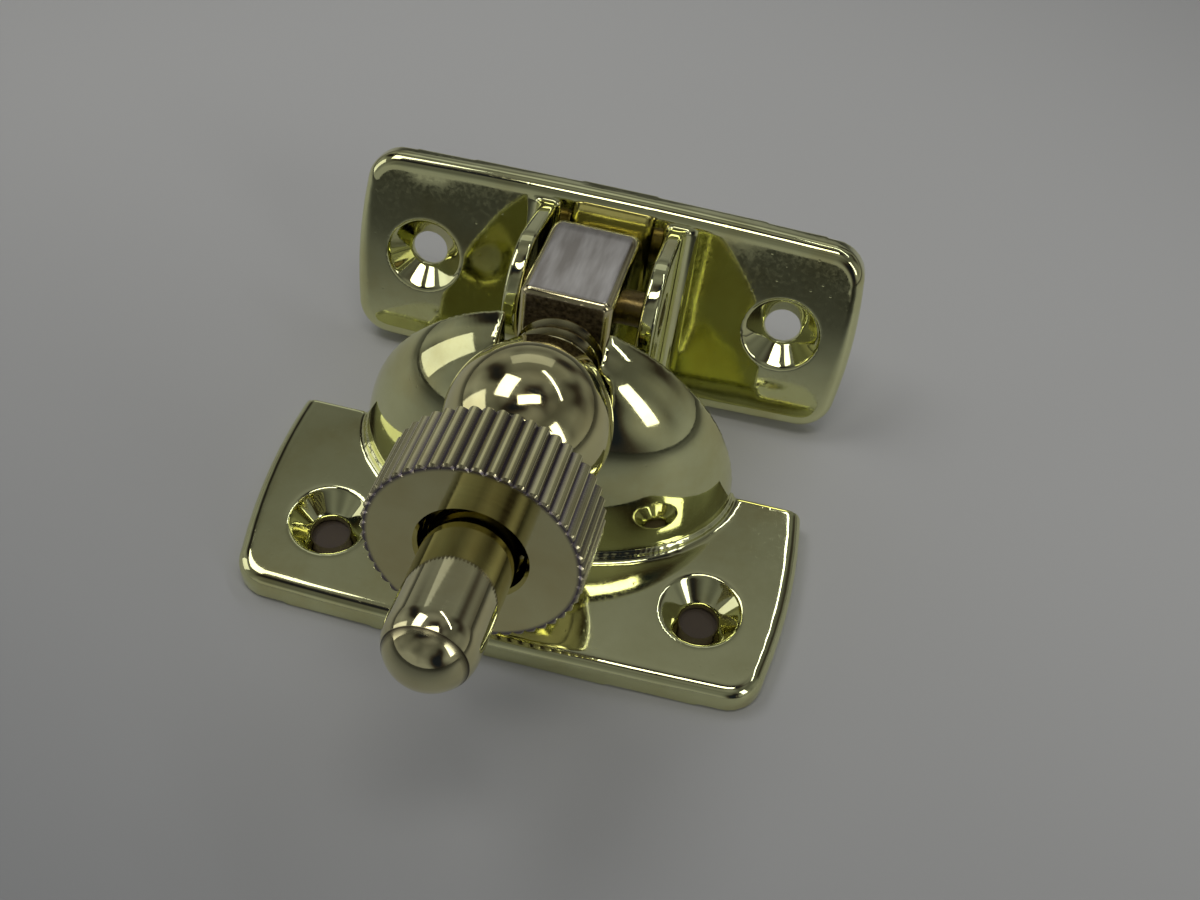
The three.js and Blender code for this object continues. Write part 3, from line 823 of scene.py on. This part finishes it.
# %% the room
world = bpy.data.worlds.new("dim_room")
world.use_nodes = True
bpy.context.scene.world = world
tree = world.node_tree
direction = add(tree, "ShaderNodeTexCoord")
up = add(tree, "ShaderNodeSeparateXYZ", inputs={"Vector": direction.outputs["Generated"]})
shift = add(tree, "ShaderNodeMapping", inputs={
    "Vector": direction.outputs["Generated"], "Location": (0.35, 1.9, 0.6)})
patches = add(tree, "ShaderNodeTexNoise", inputs={
    "Vector": shift.outputs["Vector"], "Scale": 1.7, "Detail": 0.8, "Roughness": 0.4})
height = add(tree, "ShaderNodeMapRange", {"clamp": True}, {
    "Value": up.outputs["Z"], "From Min": -0.1, "From Max": 1.0})
level_tone = add(tree, "ShaderNodeValToRGB", None, {"Fac": height.outputs["Result"]}, [
    (0.0, "8A8A88"), (0.35, "909190"), (0.6, "767775"), (0.8, "646462"), (1.0, "9A9A9A")])
patch_tone = add(tree, "ShaderNodeValToRGB", None, {"Fac": patches.outputs["Fac"]}, [
    (0.30, "3A3F52"), (0.37, "6E6462"), (0.46, "C8C8C8"), (0.60, "FFFFFF")])
room_mix = add(tree, "ShaderNodeMix", {"data_type": "RGBA", "blend_type": "MULTIPLY"}, {
    0: 1.0, 6: level_tone.outputs["Color"], 7: patch_tone.outputs["Color"]})
tree.links.new(room_mix.outputs[2], tree.nodes["Background"].inputs["Color"])
tree.nodes["Background"].inputs["Strength"].default_value = 1.0


# %% the lamps
def lamp(name, spot, size, power, tint="FFFFFF"):
    """A soft oblong lamp at spot, in metres, aimed at the fastener."""
    light = bpy.data.lights.new(name, "AREA")
    light.shape = "RECTANGLE"
    light.size, light.size_y = size
    light.energy = power
    light.color = linear(tint)[:3]
    made = bpy.data.objects.new(name, light)
    made.location = spot
    away = Vector(spot) - Vector((0, 0, 0.015))
    made.rotation_euler = away.to_track_quat("Z", "Y").to_euler()
    bpy.context.scene.collection.objects.link(made)


lamp("key", (-0.30, 0.10, 0.55), (0.32, 0.22), 0.55)
lamp("top", (0.02, -0.06, 0.70), (0.34, 0.14), 0.6, "FFFDF6")
lamp("fill", (0.45, -0.25, 0.30), (0.12, 0.30), 0.3)
lamp("tube", (0.25, 0.30, 0.55), (0.50, 0.03), 0.25, "F4F8FF")
lamp("window", (-0.12, 0.62, 0.40), (0.50, 0.22), 0.09, "FBFCFF")
lamp("left", (-0.55, -0.05, 0.20), (0.25, 0.35), 0.25)

# %% [markdown]
# ## The camera
# The camera looks down at about 53 degrees from in front, a little to the right, and is rolled
# a few degrees, as when a small thing is held under a lens by hand.

# %% the camera
yaw, pitch, roll = 0.1572, 0.924, 0.1029
forward = Vector((-math.sin(yaw) * math.cos(pitch), math.cos(yaw) * math.cos(pitch),
                  -math.sin(pitch)))
level = Vector((math.cos(yaw), math.sin(yaw), 0))
above = level.cross(forward)
right = level * math.cos(roll) + above * math.sin(roll)
upward = above * math.cos(roll) - level * math.sin(roll)
eye = bpy.data.cameras.new("eye")
eye.sensor_width = 36
eye.lens = 45
eye.clip_start = 0.01
camera = bpy.data.objects.new("eye", eye)
camera.matrix_world = (Matrix.Translation((0.022115, -0.089489, 0.143643))
                       @ Matrix((right, upward, -forward)).transposed().to_4x4())
bpy.context.scene.collection.objects.link(camera)
bpy.context.scene.camera = camera
bpy.context.scene.view_settings.view_transform = "Standard"
